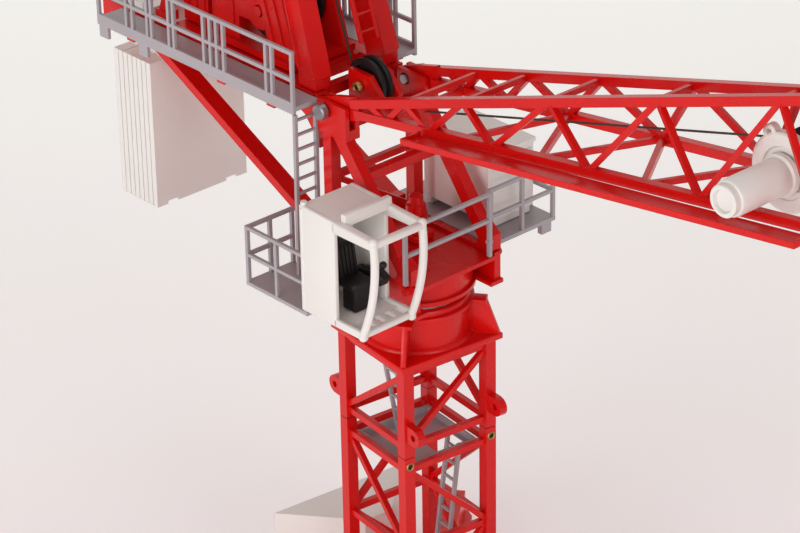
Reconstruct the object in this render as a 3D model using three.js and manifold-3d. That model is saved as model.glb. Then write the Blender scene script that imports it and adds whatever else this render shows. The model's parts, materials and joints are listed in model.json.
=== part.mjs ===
// Luffing tower crane scale model, 1:50. Millimetres, +Z up, the base stands on z = 0.
// The slewing axis is the Z axis, the jib points along +X and the cab hangs on the -Y side.
import * as THREE from "three";
import { mergeVertices } from "three/addons/utils/BufferGeometryUtils.js";
import Module from "manifold-3d";

const wasm = await Module();
wasm.setup();

// ---------------------------------------------------------------- driving dimensions
const GAP = 0.3; // clearance between touching pieces
const TOWER_TURN = -6.65; // degrees that the tower is turned under the jib
const TOWER_WIDTH = 40; // outside of the corner legs
const LEG = 4.3; // square corner leg
const BRACE = 2.1; // square lattice brace
const BASE_TOP = 12; // top of the cross beams
const SECTION_JOINT = 93.5; // height of the joint between the two tower sections
const TOWER_TOP = 129; // underside of the fixed slewing support
const TOWER_NODES = [19.6, 53.7, 87.6]; // heights of the horizontals of the lower section
const SUPPORT_WIDTH = 43.7; // square foot of the fixed slewing support
const SUPPORT_TOP = 147.5;
const RING_RADIUS = 19;
const DECK_TOP = 162.9; // top of the slewing platform
const DECK_BOTTOM = 150.7;
const DECK_FRONT = 21.7;
const DECK_REAR = -26;
const DECK_HALF = 20.5;
const PIVOT = { x: -21, z: 216 }; // jib pivot, axis along Y
const JIB_SLOPE = 8.4; // degrees, lower chords above the horizontal in the stored pose
const JIB_FOOT_LENGTH = 250;
const JIB_MID_LENGTH = 150;
const JIB_LENGTH = 560;
const CHORD = 3.2; // square jib chord
const JIB_HALF = 18.2; // half width of the lower chords at the foot
const TOP_CHORD_HALF = 20.2; // half width of the upper chords at the foot
const JIB_DEPTH = 41.3; // depth of the three-chord part
const COUNTER_JIB_END = -147;
const MAST_HEAD = { x: -72, z: 362 }; // rope sheaves on top of the A-frame
const WALK_DECK = 218.7;
const RAIL_HEIGHT = 19.9;
const HOOK_DROP = 200; // tip sheave to hook block sheave, with the hook at its lowest
const HOIST_AXIS = { u: 194.5, w: 9.5 }; // hoist drum, in jib coordinates

// ---------------------------------------------------------------- colours
const paint = (color, roughness, metalness) => ({ color, roughness, metalness });
const RED = paint(0xc8140c, 0.32, 0.1);
const WHITE = paint(0xf1ede6, 0.45, 0);
const GREY = paint(0xb4adad, 0.5, 0.1);
const BLACK = paint(0x181416, 0.45, 0);
const BRASS = paint(0xb58a4a, 0.35, 0.9);
const STEEL = paint(0x8f9094, 0.35, 0.8);
const ROPE = paint(0x4a3a36, 0.8, 0);

// ---------------------------------------------------------------- solids and booleans
const V = (x, y, z) => new THREE.Vector3(x, y, z);
const radians = THREE.MathUtils.degToRad;

function toSolid(geometry) {
  const bare = geometry.clone();
  bare.deleteAttribute("normal");
  bare.deleteAttribute("uv");
  const merged = mergeVertices(bare, 1e-4);
  return new wasm.Manifold(
    new wasm.Mesh({
      numProp: 3,
      vertProperties: new Float32Array(merged.attributes.position.array),
      triVerts: new Uint32Array(merged.index.array),
    }),
  );
}

function toGeometry(solid) {
  const mesh = solid.getMesh();
  const geometry = new THREE.BufferGeometry();
  const positions = new Float32Array((mesh.vertProperties.length / mesh.numProp) * 3);
  for (let i = 0; i < positions.length / 3; i++)
    for (let k = 0; k < 3; k++) positions[3 * i + k] = mesh.vertProperties[mesh.numProp * i + k];
  geometry.setAttribute("position", new THREE.BufferAttribute(positions, 3));
  geometry.setIndex(new THREE.BufferAttribute(new Uint32Array(mesh.triVerts), 1));
  geometry.computeVertexNormals();
  return geometry;
}

function join(geometries) {
  let solid = toSolid(geometries[0]);
  for (const geometry of geometries.slice(1)) solid = solid.add(toSolid(geometry));
  return toGeometry(solid);
}

function cut(geometry, tools) {
  let solid = toSolid(geometry);
  for (const tool of tools) solid = solid.subtract(toSolid(tool));
  return toGeometry(solid);
}

// ---------------------------------------------------------------- basic shapes
function box(x0, x1, y0, y1, z0, z1) {
  const geometry = new THREE.BoxGeometry(x1 - x0, y1 - y0, z1 - z0);
  return geometry.translate((x0 + x1) / 2, (y0 + y1) / 2, (z0 + z1) / 2);
}

// A rectangular bar from a to b: `wide` is level and `high` stands across it.
function bar(a, b, wide, high = wide) {
  const along = b.clone().sub(a);
  const length = along.length();
  along.normalize();
  const level = Math.abs(along.z) > 0.999 ? V(0, 1, 0) : V(0, 0, 1).cross(along).normalize();
  const third = along.clone().cross(level);
  const geometry = new THREE.BoxGeometry(length, wide, high);
  geometry.applyMatrix4(new THREE.Matrix4().makeBasis(along, level, third));
  return geometry.translate((a.x + b.x) / 2, (a.y + b.y) / 2, (a.z + b.z) / 2);
}

// A round rod from a to b.
function rod(a, b, radius, sides = 16) {
  const geometry = new THREE.CylinderGeometry(radius, radius, a.distanceTo(b), sides);
  const turn = new THREE.Quaternion().setFromUnitVectors(V(0, 1, 0), b.clone().sub(a).normalize());
  geometry.applyQuaternion(turn);
  return geometry.translate((a.x + b.x) / 2, (a.y + b.y) / 2, (a.z + b.z) / 2);
}

// An outline of [x, z] points with thickness along Y.
function plateXZ(points, y0, y1) {
  const shape = new THREE.Shape(points.map(([x, z]) => new THREE.Vector2(x, z)));
  const geometry = new THREE.ExtrudeGeometry(shape, { depth: y1 - y0, bevelEnabled: false });
  return geometry.rotateX(Math.PI / 2).translate(0, y1, 0);
}

// An outline of [x, y] points with thickness along Z.
function plateXY(points, z0, z1) {
  const shape = new THREE.Shape(points.map(([x, y]) => new THREE.Vector2(x, y)));
  const geometry = new THREE.ExtrudeGeometry(shape, { depth: z1 - z0, bevelEnabled: false });
  return geometry.translate(0, 0, z0);
}

// A grooved rope sheave or drum: a turned profile of [radius, y] points about the Y axis.
function turnedY(profile, x, y, z, sides = 18) {
  const points = profile.map(([r, along]) => new THREE.Vector2(r, along));
  return new THREE.LatheGeometry(points, sides).translate(x, y, z);
}

// A round pin, eye or bore along Y.
const eyeY = (x, z, y0, y1, radius, sides = 12) => rod(V(x, y0, z), V(x, y1, z), radius, sides);

// The two bores of the jib pivot, one on each side.
const pivotBores = (x, z) => [-1, 1].map((side) => eyeY(x, z, side * 12, side * 24, 2.2));

function ring(radius, z, count, turn = 0) {
  const points = [];
  for (let i = 0; i < count; i++) {
    const angle = turn + (2 * Math.PI * i) / count;
    points.push(V(radius * Math.cos(angle), radius * Math.sin(angle), z));
  }
  return points;
}

// ---------------------------------------------------------------- scene graph
const crane = new THREE.Group();
crane.name = "tower_crane";
const tower = new THREE.Group();
tower.rotation.z = radians(TOWER_TURN);
const jib = new THREE.Group();
jib.position.set(PIVOT.x, 0, PIVOT.z);
jib.rotation.y = radians(-JIB_SLOPE);
crane.add(tower, jib);

function add(group, name, geometry, finish) {
  const mesh = new THREE.Mesh(geometry, new THREE.MeshStandardMaterial(finish));
  mesh.name = name;
  group.add(mesh);
}

// ---------------------------------------------------------------- base
const ARM_REACH = 84;
const TRAY_TOP = 5;

function baseCross() {
  const arms = [45, 135].map((angle) => {
    const end = V(Math.cos(radians(angle)), Math.sin(radians(angle)), 0).multiplyScalar(ARM_REACH);
    const height = V(0, 0, (1 + BASE_TOP) / 2);
    return bar(end.clone().negate().add(height), end.add(height), 9, BASE_TOP - 1);
  });
  const pads = [45, 135, 225, 315].map((angle) => {
    const x = (ARM_REACH - 6) * Math.cos(radians(angle));
    const y = (ARM_REACH - 6) * Math.sin(radians(angle));
    return rod(V(x, y, 0), V(x, y, 3), 8, 12);
  });
  const tray = box(-52, 52, -32, 32, 2, TRAY_TOP);
  const hub = box(-23, 23, -23, 23, 0, TRAY_TOP + 1);
  return join([...arms, ...pads, tray, hub]);
}

// A wedge of ballast between two arms of the base; `side` is +1 for the jib side.
function ballastBlock(side) {
  const outline = [[50.5, -30.5], [50.5, 30.5], [26, 6], [26, -6]];
  const points = outline.map(([x, y]) => [side * x, side * y]);
  const block = plateXY(points, TRAY_TOP + GAP, 40);
  const slot = box(-3, 3, -3, 3, 32, 41).translate(side * 41, 0, 0);
  return cut(block, [slot]);
}

// ---------------------------------------------------------------- tower sections
const LEG_CENTRE = (TOWER_WIDTH - LEG) / 2;
const CORNERS = [[-1, -1], [1, -1], [1, 1], [-1, 1]].map(([x, y]) => V(x * LEG_CENTRE, y * LEG_CENTRE, 0));
const at = (corner, z) => CORNERS[corner % 4].clone().setZ(z);

// Horizontals and one diagonal on each face of a bay; the diagonals rise or fall round the tower.
function towerBay(bottom, top, rising) {
  const braces = [];
  for (let face = 0; face < 4; face++) {
    const from = at(face, rising ? bottom : top);
    const to = at(face + 1, rising ? top : bottom);
    braces.push(bar(from, to, BRACE));
  }
  return braces;
}

const towerFrame = (z) => [0, 1, 2, 3].map((face) => bar(at(face, z), at(face + 1, z), BRACE, BRACE + 0.4));
const towerLegs = (z0, z1) => CORNERS.map((c) => bar(c.clone().setZ(z0), c.clone().setZ(z1), LEG));

function towerBaseSection() {
  const [low, middle, high] = TOWER_NODES;
  const parts = [...towerLegs(BASE_TOP + GAP, SECTION_JOINT - GAP / 2), ...TOWER_NODES.flatMap(towerFrame)];
  parts.push(...towerBay(low, middle, true), ...towerBay(middle, high, false));
  return join(parts);
}

// The climbing lugs stand out of the legs along X, each with a pin hole.
function climbingLug(corner) {
  const side = Math.sign(corner.x);
  const face = side * (TOWER_WIDTH / 2);
  const end = face + side * 4;
  const z = 104;
  const plate = bar(V(face - side, corner.y, z), V(end, corner.y, z), 3, 7);
  const nose = eyeY(end, z, corner.y - 1.5, corner.y + 1.5, 3.5, 14);
  return cut(join([plate, nose]), [eyeY(end, z, corner.y - 3, corner.y + 3, 1.3, 10)]);
}

function towerTopSection() {
  const parts = [...towerLegs(SECTION_JOINT + GAP / 2, TOWER_TOP), ...CORNERS.map(climbingLug)];
  parts.push(...towerFrame(97), ...towerFrame(TOWER_TOP - 2), ...towerBay(98, TOWER_TOP - 3, true));
  return join(parts);
}

// A landing inside the tower, with a trap for the ladder, hung between the horizontals.
function towerPlatform() {
  const deck = box(-15.3, 15.3, -15.3, 15.3, 84.6, 85.6);
  const toe = box(-15.3, 15.3, -15.3, 15.3, 85, 87.4);
  const inside = box(-14.3, 14.3, -14.3, 14.3, 85, 89);
  const trap = box(1.5, 10.5, 0.5, 12.5, 80, 90);
  return cut(cut(join([deck, toe]), [inside]), [trap]);
}

// A straight ladder from foot to head; `level` is the direction of its rungs.
function ladder(foot, head, level, width, pitch, stile = 1.3) {
  const side = level.clone().multiplyScalar(width / 2);
  const parts = [side, side.clone().negate()].map((s) => bar(foot.clone().add(s), head.clone().add(s), stile));
  const along = head.clone().sub(foot);
  const rungs = Math.floor(along.length() / pitch);
  for (let i = 1; i <= rungs; i++) {
    const middle = foot.clone().add(along.clone().multiplyScalar((i - 0.4) / rungs));
    parts.push(bar(middle.clone().add(side), middle.clone().sub(side), 0.9, 0.9));
  }
  return join(parts);
}

// ---------------------------------------------------------------- slewing support and platform
// A drum on a square foot plate, with a flange and a sloping gusset towards each corner.
function slewingSupport() {
  const half = SUPPORT_WIDTH / 2;
  const plateTop = TOWER_TOP + 2.6;
  const flangeTop = SUPPORT_TOP - 2.1;
  const foot = box(-half, half, -half, half, TOWER_TOP + GAP, plateTop);
  const drum = rod(V(0, 0, plateTop - 0.6), V(0, 0, SUPPORT_TOP), RING_RADIUS, 48);
  const flange = rod(V(0, 0, flangeTop - 1.5), V(0, 0, flangeTop), RING_RADIUS + 1.6, 48);
  const slope = [[17, plateTop - 0.6], [29.9, plateTop - 0.6], [25.2, flangeTop], [17, flangeTop]];
  const gussets = [45, 135, 225, 315].map((angle) => {
    const fin = join([plateXZ(slope, -0.9, 0.9), box(17, 25.2, -2.6, 2.6, flangeTop - 1.5, flangeTop)]);
    return fin.rotateZ(radians(angle));
  });
  return join([foot, drum, flange, ...gussets]);
}

function slewingRing() {
  const profile = [[13, 0], [RING_RADIUS - 1.5, 0], [RING_RADIUS - 1.5, 1.6], [13, 1.6], [13, 0]];
  const points = profile.map(([r, z]) => new THREE.Vector2(r, z));
  return new THREE.LatheGeometry(points, 24).rotateX(Math.PI / 2).translate(0, 0, SUPPORT_TOP + GAP);
}

const FLOOR_TOP = DECK_TOP - 1.3;

// A floor on a drum, between two cheeks that stand on a flange round the drum.
function slewingPlatform() {
  const floor = box(DECK_REAR, DECK_FRONT, -DECK_HALF + 1, DECK_HALF - 1, FLOOR_TOP - 1.6, FLOOR_TOP);
  const drum = rod(V(0, 0, SUPPORT_TOP + 2.3), V(0, 0, FLOOR_TOP - 1), RING_RADIUS + 1, 48);
  const flange = rod(V(0, 0, DECK_BOTTOM), V(0, 0, DECK_BOTTOM + 1.5), RING_RADIUS + 2.2, 48);
  const cheeks = [-1, 1].map((side) => {
    const y = side * (DECK_HALF - 1.6);
    return box(DECK_REAR, DECK_FRONT, y - 1.4, y + 1.4, DECK_BOTTOM, DECK_TOP);
  });
  const feet = [-1, 1].flatMap((side) => {
    const y = side * (DECK_HALF - 2.7);
    return [[DECK_FRONT - 9, DECK_FRONT + 1], [DECK_REAR, DECK_REAR + 9]].map(([x0, x1]) =>
      box(x0, x1, y - 2.9, y + 2.9, DECK_BOTTOM, DECK_BOTTOM + 1.5));
  });
  const rear = box(DECK_REAR, DECK_REAR + 2.4, -DECK_HALF + 1, DECK_HALF - 1, 156.5, DECK_TOP);
  const lugs = [-1, 1].map((side) => {
    const y = side * DECK_HALF;
    return eyeY(DECK_FRONT - 3, DECK_TOP - 1.8, y - side * 1.3, y + side * 2, 1.6, 10);
  });
  return join([floor, drum, flange, ...cheeks, ...feet, rear, ...lugs]);
}

function slewMotor() {
  const foot = box(-12, -3, 3, 12, FLOOR_TOP + GAP, FLOOR_TOP + 2.8);
  const body = rod(V(-7.5, 7.5, 162), V(-7.5, 7.5, 176), 3.6, 16);
  const cap = rod(V(-7.5, 7.5, 175), V(-7.5, 7.5, 178.5), 2.6, 12);
  return join([foot, body, cap]);
}

// ---------------------------------------------------------------- tower head
const HEAD_BOTTOM = DECK_TOP + GAP;
const CHEEK_OUTER = 19.7;

function towerHead() {
  const parts = [];
  const toe = DECK_FRONT - 0.8;
  const footGusset = [
    [toe - 8.2, HEAD_BOTTOM], [toe, HEAD_BOTTOM], [toe, HEAD_BOTTOM + 6], [toe - 4.2, HEAD_BOTTOM + 9],
  ];
  for (const side of [-1, 1]) {
    const y = side * 19.1;
    parts.push(box(-23, -18.8, y - 2.1, y + 2.1, HEAD_BOTTOM, 210.6));
    parts.push(bar(V(-15.5, y, 208.5), V(17.4, y, HEAD_BOTTOM + 2.4), 4.2, 5));
    parts.push(plateXZ(footGusset, y - 2.1, y + 2.1));
    for (const middle of [CHEEK_OUTER + 0.9, 16.1])
      parts.push(box(-25, -10.6, side * middle - 0.9, side * middle + 0.9, 208.5, 219.4));
    parts.push(box(-25, -10.6, y - 4, y + 2.4, 207, 210.8).translate(0, side > 0 ? 0 : 1.6, 0));
  }
  parts.push(bar(V(-5, -18.5, 195.2), V(-5, 18.5, 195.2), 3.4, 3.4));
  parts.push(bar(V(-21, -18.5, 207.6), V(-21, 18.5, 207.6), 3, 3.4));
  parts.push(bar(V(-21, -18.5, 190), V(-21, 18.5, 190), 2.2, 2.4));
  parts.push(bar(V(-21, -18.5, 190), V(-21, 18.5, 165.5), 2.2, 2.2));
  return cut(join(parts), pivotBores(PIVOT.x, PIVOT.z));
}

// The pin runs through both cheeks and the jib lug, with a head outside.
function pivotPin(side) {
  const shank = eyeY(PIVOT.x, PIVOT.z, side * 14.4, side * 22.2, 1.85, 12);
  const head = eyeY(PIVOT.x, PIVOT.z, side * 21.8, side * 25, 2.9, 16);
  return join([shank, head]);
}

// ---------------------------------------------------------------- counter-jib and its loads
function counterJib() {
  const parts = [];
  for (const side of [-1, 1]) {
    const y = side * 17.4;
    parts.push(bar(V(-29, y, 215.4), V(COUNTER_JIB_END, y, 215.4), 5, 7.2));
    parts.push(bar(V(-25.6, y, 203), V(-34, y, 213), 4.2, 5));
    parts.push(box(-30, -26.6, y - 2.1, y + 2.1, 199, 219));
  }
  for (const x of [-34, -46, -78, -104, COUNTER_JIB_END + 3])
    parts.push(box(x - 1.6, x + 1.6, -16, 16, 213.4, 217.4));
  for (const x of [-40, -67, -118])
    for (const side of [-1, 1]) {
      const y0 = side > 0 ? 19 : -30;
      parts.push(box(x - 2, x + 2, y0, y0 + 11, 213.6, 215.6));
    }
  parts.push(box(-110, -44, -16, 16, 217.2, 218.9));
  return join(parts);
}

function counterJibStrut(side) {
  const y = side * 16.6;
  const strut = bar(V(-29.4, y, 165.6), V(-117, y, 208.8), 6.4, 3.4);
  const foot = box(-30.5, -26.3, y - 3, y + 3, 162.6, 168);
  return join([strut, foot]);
}

const SLAB_COUNT = 4;
const SLAB_PITCH = 5.4;
const SLAB_FRONT = -118.6;

// A hanging slab: broad body, narrow neck between the beams, and a head that rests on them.
function counterweightSlab(index) {
  const x1 = SLAB_FRONT - index * SLAB_PITCH;
  const x0 = x1 - SLAB_PITCH + GAP;
  const body = box(x0, x1, -21.5, 21.5, 143.1, 201.7);
  const neck = box(x0, x1, -14.4, 14.4, 201, 220);
  const head = box(x0, x1, -19, 19, 219.3, 223);
  const notches = [-1, 1].map((side) => box(x0 - 1, x1 + 1, side * 14 - 2.5, side * 14 + 2.5, 143, 144.3));
  const middle = (x0 + x1) / 2;
  const grooves = [-21.5, 21.5].map((y) => box(middle - GAP / 2, middle + GAP / 2, y - 0.5, y + 0.5, 143, 202));
  return cut(join([body, neck, head]), [...notches, ...grooves]);
}

// A deck with toe-boards, posts and two rails; `side` is -1 for the cab side.
function walkway(side, xFront, xRear) {
  const inner = side * 20.9;
  const outer = side * 32.1;
  const lo = Math.min(inner, outer);
  const hi = Math.max(inner, outer);
  const deck = box(xRear, xFront, lo, hi, 217, WALK_DECK);
  const edge = outer - side * 0.6;
  const parts = [deck, box(xRear, xFront, edge - 0.6, edge + 0.6, 216, WALK_DECK + 1.6)];
  const rail = (z) => bar(V(xRear, edge, z), V(xFront, edge, z), 1.2, 1.4);
  parts.push(rail(WALK_DECK + RAIL_HEIGHT), rail(WALK_DECK + RAIL_HEIGHT / 2));
  const posts = [0.7, 11, 14, 36.4, 40, 43.4, 47, 63.4, 66.1, 75.9, 78.3, 86.7, 90.2];
  for (const post of posts) {
    const x = xFront - (post / 107) * (xFront - xRear);
    parts.push(box(x - 0.65, x + 0.65, edge - 0.6, edge + 0.6, WALK_DECK - 1.5, WALK_DECK + RAIL_HEIGHT));
  }
  parts.push(box(xRear, xRear + 1.3, edge - 0.6, edge + 0.6, WALK_DECK - 1.5, WALK_DECK + RAIL_HEIGHT));
  for (const x of [xRear + 24, xRear + 1]) parts.push(box(x, x + 5, edge - 0.6, edge + 0.6, 211.5, 217));
  return join(parts);
}

// ---------------------------------------------------------------- A-frame
const LEAN = -0.32; // the front legs lean back this much per unit of height
const leanX = (z) => -33 + (z - 224.7) * LEAN;

function aFrame() {
  const parts = [];
  const { x, z: top } = MAST_HEAD;
  const headPlate = [[x - 9, top - 15], [x + 9, top - 15], [x + 6, top + 6], [x - 6, top + 6]];
  for (const side of [-1, 1]) {
    const y = side * 15.6;
    parts.push(bar(V(leanX(222.4), y, 222.4), V(leanX(357), side * 10.5, 357), 7.4, 9));
    parts.push(box(-37.6, -28.6, y - 3.4, y + 3.4, 219.4, 224.6));
    for (const dx of [-3.7, 3.7])
      parts.push(bar(V(leanX(226) + dx, side * 19.1, 226), V(leanX(352) + dx, side * 14.3, 352), 1, 1));
    parts.push(bar(V(x - 2, side * 10.5, top - 9), V(-114.5, side * 15.5, 222.4), 4, 4));
    parts.push(box(-117.6, -111, side * 15.5 - 2.6, side * 15.5 + 2.6, 219.4, 223));
    parts.push(plateXZ(headPlate, side * 10.7 - 3.3, side * 10.7 + 3.3));
  }
  for (const z of [252, 285]) parts.push(bar(V(leanX(z) - 4.4, -14, z), V(leanX(z) - 4.4, 14, z), 2.8, 5));
  parts.push(bar(V(x + 4.5, -13, top - 12.6), V(x + 4.5, 13, top - 12.6), 4.6, 3));
  parts.push(bar(V(-93.6, -13, 289.6), V(-93.6, 13, 289.6), 3, 3));
  return cut(join(parts), [eyeY(x, top, -20, 20, 1.9)]);
}

// The ladder climbs in front of the legs, beside the hoist rope.
function aFrameLadder() {
  const [foot, head] = [231, 345].map((z) => V(leanX(z) + 6.4, 6, z));
  return ladder(foot, head, V(0, 1, 0), 7.4, 6);
}

const mastPin = () =>
  join([
    eyeY(MAST_HEAD.x, MAST_HEAD.z, -15.6, 15.6, 1.6, 12),
    eyeY(MAST_HEAD.x, MAST_HEAD.z, -16.6, -14.4, 2.6, 12),
    eyeY(MAST_HEAD.x, MAST_HEAD.z, 14.4, 16.6, 2.6, 12),
  ]);

// A rope sheave with a groove and a bore, lying in the XZ plane.
function sheave(x, z, y, radius, half, bore) {
  const root = radius - 1.6;
  const groove = [[radius, -half], [root, -half * 0.25], [root, half * 0.25], [radius, half]];
  const profile = [[bore, -half], ...groove, [bore, half], [bore, -half]];
  return turnedY(profile, x, y, z);
}

// Two flanges and a barrel wound with rope, with a bore for its shaft.
function ropeDrum(x, y, z, half, flange, barrel, bore) {
  const lip = 1.2;
  const profile = [
    [bore, -half], [flange, -half], [flange, lip - half], [barrel, lip - half],
    [barrel, half - lip], [flange, half - lip], [flange, half], [bore, half], [bore, -half],
  ];
  return turnedY(profile, x, y, z);
}

const LUFFING_DRUM = { x: -66, z: 236, half: 9 };

const luffingDrum = () => ropeDrum(LUFFING_DRUM.x, 0, LUFFING_DRUM.z, LUFFING_DRUM.half, 11, 8, 2.3);

// Two tall side plates, each a post and a leaning ribbed panel, joined round the drum bearing.
function luffingWinchFrame() {
  const { x, z } = LUFFING_DRUM;
  const parts = [box(-92, -46, -14.6, 14.6, 219.4, 222)];
  const top = 262;
  const lean = (height) => (height - 221) * LEAN;
  const panel = [[-60, 221], [-46, 221], [lean(top) - 46, top], [lean(top) - 60, top]];
  for (const side of [-1, 1]) {
    const middle = side * 11;
    parts.push(box(-92, -77, middle - 1.4, middle + 1.4, 221, top - 4));
    parts.push(plateXZ(panel, middle - 1.4, middle + 1.4));
    parts.push(box(-80, x, middle - 1.4, middle + 1.4, z - 5, z + 5));
    parts.push(eyeY(x, z, middle - 1.4, middle + 1.4, 7, 20));
    for (const along of [-57, -51.5]) {
      const outside = side * 12.4;
      parts.push(bar(V(along + lean(226), outside, 226), V(along + lean(257), outside, 257), 1.4, 2.4));
    }
    parts.push(box(-89.5, -79.5, middle - 2, middle + 2, 226, 252));
  }
  return cut(join(parts), [eyeY(x, z, -20, 20, 2.3)]);
}

function luffingGearMotor() {
  const { x, z } = LUFFING_DRUM;
  const shaft = eyeY(x, z, -13, 14.2, 1.9, 12);
  const head = eyeY(x, z, 13.8, 17.6, 6.4, 16);
  const motor = rod(V(x, 17, z), V(x - 20, 17, z), 3, 14);
  return join([shaft, head, motor]);
}

const machineryHouse = () => {
  const body = box(-110, -96, -11, 11, 219.4, 252);
  const roof = box(-111, -95.4, -11.9, 11.9, 250.6, 253.4);
  const ribs = [-107.5, -103, -98.5].map((x) => box(x - 0.9, x + 0.9, -11.6, 11.6, 220.5, 249));
  return join([body, roof, ...ribs]);
};

// ---------------------------------------------------------------- rope deflection at the jib foot
const DEFLECTION = { x: -21.5, z: 219.5, radius: 9.2 };

const deflectionSheave = () => sheave(DEFLECTION.x, DEFLECTION.z, 0, DEFLECTION.radius, 2.4, 1.5);

function sheaveBracket() {
  const { x, z } = DEFLECTION;
  const parts = [];
  const outline = [[x - 6, 209.6], [x + 9, 209.6], [x + 11, z - 2], [x + 5, z + 5], [x - 6, z + 5]];
  for (const side of [-1, 1]) {
    const lo = side > 0 ? 2.9 : -5;
    parts.push(plateXZ(outline, lo, lo + 2.1));
  }
  parts.push(box(x - 4, x + 4, -5, 5, 209.4, 210.2));
  return cut(join(parts), [eyeY(x, z, -10, 10, 1.5)]);
}

const sheaveBolt = () =>
  join([
    eyeY(DEFLECTION.x, DEFLECTION.z, -6.4, 6.4, 1.2, 12),
    eyeY(DEFLECTION.x, DEFLECTION.z, -7.2, -5.3, 2, 12),
    eyeY(DEFLECTION.x, DEFLECTION.z, 5.3, 7.2, 2, 12),
  ]);

// ---------------------------------------------------------------- cab
const CAB = { x0: -3.9, x1: 34.2, y0: -49, y1: -24.6, z0: 155.7, z1: 195.8 };

// A shell with a curved front, open windows on the front and sides, a roof light and a slotted floor.
function cabShell() {
  const { x0, x1, y0, y1, z0, z1 } = CAB;
  const frontTop = z1 - 1.2;
  const sill = new THREE.Vector2(x1 - 7.2, z0);
  const belly = new THREE.Vector2(x1 + 0.8, z0 + 20);
  const brow = new THREE.Vector2(x1 - 0.6, frontTop);
  const front = new THREE.QuadraticBezierCurve(sill, belly, brow).getPoints(8);
  const outline = [[x0, z0], ...front.map((p) => [p.x, p.y]), [x0, z1]];
  const inner = 1.7;
  const innerOutline = [
    [x0 + inner, z0 + inner], [x1 + 5, z0 + inner], [x1 + 5, frontTop - 2.6],
    [x1 - 3, frontTop - 2.6], [x1 - 3, frontTop - inner], [x0 + inner, z1 - inner],
  ];
  const beam = box(x0 + 18.4, x0 + 20.8, y0 + 2.4, y1 - 0.6, z1 - 1.5, z1 + 2.2);
  const body = join([plateXZ(outline, y0, y1), beam]);
  const room = plateXZ(innerOutline, y0 + inner, y1 - inner);
  const clampZ = (z) => THREE.MathUtils.clamp(z, z0 + 3, frontTop - 3.4);
  const sideWindow = front.slice(1, -1).map((p) => [p.x - 2.6, clampZ(p.y)]);
  const windowOutline = [[x0 + 17.8, z0 + 3], ...sideWindow, [x0 + 17.8, z1 - 4.6]];
  const tools = [room, plateXZ(windowOutline, y0 - 1, y1 + 1)];
  tools.push(box(x0 + 20.8, x1 - 3.2, y0 + 3.4, y1 - 2.6, z1 - 12, z1 + 2));
  for (let i = 0; i < 4; i++) {
    const y = y0 + 8.1 + i * 4.6;
    tools.push(box(x1 - 14.4, x1 - 9.4, y - 0.9, y + 0.9, z0 - 1, z0 + 3));
  }
  return cut(body, tools);
}

function cabSeat() {
  const y = -36.8;
  const cushion = box(5.4, 14.8, y - 4.7, y + 4.7, 166, 169);
  const back = bar(V(6, y, 167), V(3.6, y, 180.5), 8.6, 2.6);
  const head = bar(V(3.8, y, 179.5), V(3, y, 184), 5.2, 2.4);
  const post = box(7.4, 14, y - 3.6, y + 3.6, CAB.z0 + 2, 166.5);
  return join([cushion, back, head, post]);
}

// An armrest with a control stick, cantilevered from a foot beside the seat.
function cabConsole() {
  const y = -29.6;
  const arm = plateXZ([[3, 165], [16.6, 165.6], [18.6, 169], [15.4, 170.6], [3, 168.6]], y - 2, y + 2);
  const foot = box(3, 7, y - 1.6, y + 1.6, CAB.z0 + 2, 166);
  const stick = rod(V(15.6, y, 169), V(16.4, y, 173.2), 0.7, 8);
  const knob = rod(V(16.2, y, 172.4), V(16.5, y, 174.6), 1.3, 10);
  return join([arm, foot, stick, knob]);
}

// ---------------------------------------------------------------- platforms and railings round the deck
// Posts and two rails along a line of [x, y] points, standing on z.
function railing(points, z, height, postStep) {
  const parts = [];
  for (let i = 0; i + 1 < points.length; i++) {
    const a = V(points[i][0], points[i][1], 0);
    const b = V(points[i + 1][0], points[i + 1][1], 0);
    for (const level of [height, height / 2])
      parts.push(bar(a.clone().setZ(z + level), b.clone().setZ(z + level), 1.2, 1.3));
    const count = Math.max(1, Math.round(a.distanceTo(b) / postStep));
    for (let k = 0; k <= count; k++) {
      const p = a.clone().lerp(b, k / count);
      parts.push(box(p.x - 0.65, p.x + 0.65, p.y - 0.65, p.y + 0.65, z - 1.5, z + height + 0.65));
    }
  }
  return parts;
}

function cabPlatform() {
  const z = 153;
  const parts = [box(-37, -4.6, -46.2, -24.6, z - 1.4, z)];
  parts.push(box(-20, -4.6, -30, -21.1, z - 1.4, z));
  parts.push(...railing([[-5.4, -45.5], [-36.3, -45.5], [-36.3, -25.2]], z, 21, 13));
  return join(parts);
}

// Two rails across the front of the deck, from a post on the deck to one beside the cab.
function frontRailing() {
  const x = 21;
  const [cabEnd, deckEnd] = [-23.8, 15.7];
  const parts = [186, 176].map((z) => bar(V(x, cabEnd, z), V(x, deckEnd, z), 1.2, 1.3));
  parts.push(box(x - 0.7, x + 0.7, cabEnd - 0.5, cabEnd + 0.8, 165, 186.65));
  parts.push(box(x - 0.7, x + 0.7, deckEnd - 0.7, deckEnd + 0.7, FLOOR_TOP + GAP, 186.65));
  parts.push(box(x - 1, x + 0.8, deckEnd - 0.9, deckEnd + 0.9, 167, 168.2));
  return join(parts);
}

function sidePlatform() {
  const z = 162.4;
  const parts = [box(-38, 15.4, 21.6, 53.4, z - 1.6, z)];
  parts.push(...railing([[-8, 52.7], [14.7, 52.7], [14.7, 22.3]], z, 20.5, 12.5));
  for (const x of [-22, 4]) parts.push(box(x, x + 3, 20.5 + GAP, 34, z - 4.6, z - 1));
  for (const x of [-36, 13]) parts.push(box(x, x + 2.2, 47, 51.6, z - 5.5, z - 1));
  return join(parts);
}

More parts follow.
